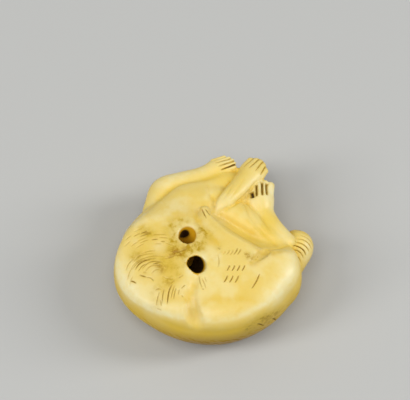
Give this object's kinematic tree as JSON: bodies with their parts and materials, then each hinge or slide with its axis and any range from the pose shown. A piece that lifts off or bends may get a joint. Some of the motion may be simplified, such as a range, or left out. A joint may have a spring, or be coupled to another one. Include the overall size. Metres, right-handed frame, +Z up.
{
  "type": "netsuke",
  "caption": "Netsuke carved as a sleeping, curled-up monkey; cord holes drilled into its flattened underside meet inside it.",
  "frame": {"origin": "on the floor, under the middle of the carving as it lies on its carved side", "axes": "+Z up, out of the flattened underside with the cord holes; +Y towards the crossed hands and feet; +X towards the rump"},
  "size_m": [0.042, 0.0408, 0.0185],
  "materials": {
    "ivory": null
  },
  "bodies": {
    "root": {"curled_monkey": "ivory"}
  },
  "joints": []
}
